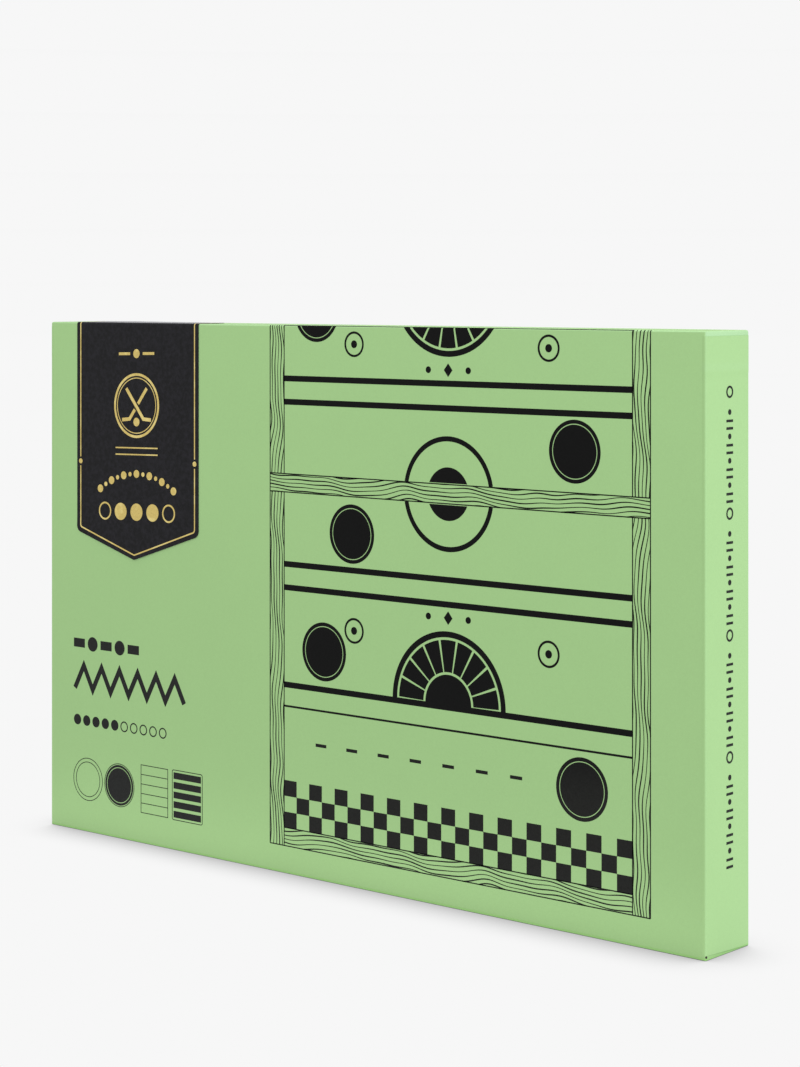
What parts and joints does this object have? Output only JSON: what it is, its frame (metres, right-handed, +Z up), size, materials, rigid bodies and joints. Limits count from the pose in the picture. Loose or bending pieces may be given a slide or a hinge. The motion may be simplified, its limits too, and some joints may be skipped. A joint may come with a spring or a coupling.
{
  "type": "table hockey game",
  "caption": "Table hockey game in a flat rigid box: a lid over a tray, holding a wooden board with a gated centre bar, elastic shooting cords and round pucks.",
  "frame": {"origin": "middle of the lower long edge that the box stands on, halfway through its depth", "axes": "+X along the box to the right seen from the printed front, +Y from the front to the back, +Z up"},
  "size_m": [0.372, 0.0321, 0.2406],
  "materials": {
    "tray_paper": "matt grey paper over greyboard",
    "lid_wrap": "matt green printed paper over greyboard",
    "label_paper": "black uncoated label paper with gold foil",
    "rail_wood": "sanded clear hardwood",
    "panel_wood": "sanded plywood with a printed rink",
    "dowel_wood": "end grain",
    "foot_pad": "soft matt pad",
    "elastic_cord": "braided cover over rubber",
    "dark_puck": "black stained wood, satin",
    "light_puck": "clear wood, satin"
  },
  "bodies": {
    "tray": {"box_tray": "tray_paper"},
    "board": {"side_rail_lower": "rail_wood", "side_rail_upper": "rail_wood", "end_rail_left": "rail_wood", "end_rail_right": "rail_wood", "centre_bar": "rail_wood", "playing_panel": "panel_wood", "dowel_lower_left_1": "dowel_wood", "dowel_lower_left_2": "dowel_wood", "dowel_lower_right_1": "dowel_wood", "dowel_lower_right_2": "dowel_wood", "dowel_upper_left_1": "dowel_wood", "dowel_upper_left_2": "dowel_wood", "dowel_upper_right_1": "dowel_wood", "dowel_upper_right_2": "dowel_wood", "foot_lower_left": "foot_pad", "foot_lower_right": "foot_pad", "foot_upper_left": "foot_pad", "foot_upper_right": "foot_pad", "elastic_knot_lower_left": "elastic_cord", "elastic_knot_upper_left": "elastic_cord", "elastic_knot_lower_right": "elastic_cord", "elastic_knot_upper_right": "elastic_cord"},
    "lid": {"box_lid": "lid_wrap", "box_label": "label_paper"},
    "left_cord": {"elastic_left": "elastic_cord"},
    "right_cord": {"elastic_right": "elastic_cord"},
    "dark_1": {"dark_puck_1": "dark_puck"},
    "dark_2": {"dark_puck_2": "dark_puck"},
    "dark_3": {"dark_puck_3": "dark_puck"},
    "dark_4": {"dark_puck_4": "dark_puck"},
    "dark_5": {"dark_puck_5": "dark_puck"},
    "light_1": {"light_puck_1": "light_puck"},
    "light_2": {"light_puck_2": "light_puck"},
    "light_3": {"light_puck_3": "light_puck"},
    "light_4": {"light_puck_4": "light_puck"},
    "light_5": {"light_puck_5": "light_puck"}
  },
  "joints": [
    {"name": "board_lift", "type": "slide", "parent": "tray", "child": "board", "axis": [0, -1, 0], "range_m": [0, 0.12]},
    {"name": "lid_lift", "type": "slide", "parent": "board", "child": "lid", "axis": [0, -1, 0], "range_m": [0, 0.15]},
    {"name": "left_cord_pull", "type": "slide", "parent": "board", "child": "left_cord", "axis": [-1, 0, 0], "range_m": [0, 0.035], "stiffness_N_per_m": 60, "deforming": ["elastic_left"]},
    {"name": "right_cord_pull", "type": "slide", "parent": "board", "child": "right_cord", "axis": [1, 0, 0], "range_m": [0, 0.035], "stiffness_N_per_m": 60, "deforming": ["elastic_right"]},
    {"name": "dark_1_slide", "type": "slide", "parent": "board", "child": "dark_1", "axis": [0, 0, 1], "range_m": [0, 0.09]},
    {"name": "dark_2_slide", "type": "slide", "parent": "dark_1", "child": "dark_2", "axis": [0, 0, 1], "range_m": [0, 0.06]},
    {"name": "dark_3_slide", "type": "slide", "parent": "board", "child": "dark_3", "axis": [0, 0, 1], "range_m": [0, 0.09]},
    {"name": "dark_4_slide", "type": "slide", "parent": "dark_3", "child": "dark_4", "axis": [0, 0, 1], "range_m": [0, 0.06]},
    {"name": "dark_5_slide", "type": "slide", "parent": "board", "child": "dark_5", "axis": [0, 0, 1], "range_m": [0, 0.178]},
    {"name": "light_1_slide", "type": "slide", "parent": "board", "child": "light_1", "axis": [0, 0, 1], "range_m": [0, 0.178]},
    {"name": "light_2_slide", "type": "slide", "parent": "board", "child": "light_2", "axis": [0, 0, 1], "range_m": [0, 0.09]},
    {"name": "light_3_slide", "type": "slide", "parent": "light_2", "child": "light_3", "axis": [0, 0, 1], "range_m": [0, 0.06]},
    {"name": "light_4_slide", "type": "slide", "parent": "board", "child": "light_4", "axis": [0, 0, 1], "range_m": [0, 0.09]},
    {"name": "light_5_slide", "type": "slide", "parent": "light_4", "child": "light_5", "axis": [0, 0, 1], "range_m": [0, 0.06]}
  ]
}
